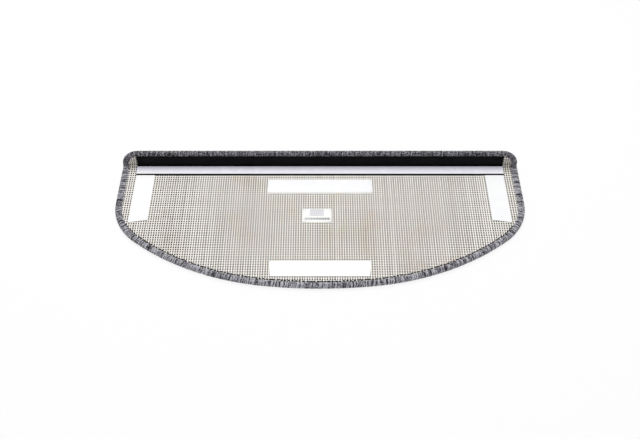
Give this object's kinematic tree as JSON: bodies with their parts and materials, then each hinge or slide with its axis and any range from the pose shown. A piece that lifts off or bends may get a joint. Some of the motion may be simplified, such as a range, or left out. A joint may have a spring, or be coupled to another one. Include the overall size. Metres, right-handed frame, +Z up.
{
  "type": "stair tread mat",
  "caption": "Half-round carpet stair mat with a whipped edge, a woven back, a lip stiffened by an angle profile, and adhesive tapes for fixing it to a stair.",
  "frame": {"origin": "middle of the mat's length and depth, on the floor under its pile", "axes": "+X along the straight edge, +Y from the curved edge to the lip, +Z up through the mat from its pile to its woven back"},
  "size_m": [0.65, 0.264, 0.037],
  "materials": {
    "pile": "cut carpet pile, grey melange",
    "woven": "open woven carpet back, beige grey",
    "whip_yarn": "whipped yarn, grey melange",
    "profile": "satin black plastic",
    "adhesive": "clear to milky adhesive film",
    "liner": "glossy white release liner",
    "label": "plain white label"
  },
  "bodies": {
    "root": {"pile_carpet": "pile", "woven_backing": "woven", "whipped_edge": "whip_yarn", "angle_profile": "profile", "profile_tape_adhesive": "adhesive", "profile_tape_liner": "liner", "left_tape_adhesive": "adhesive", "left_tape_liner": "liner", "right_tape_adhesive": "adhesive", "right_tape_liner": "liner", "back_tape_adhesive": "adhesive", "back_tape_liner": "liner", "front_tape_adhesive": "adhesive", "front_tape_liner": "liner", "back_label": "label"}
  },
  "joints": []
}
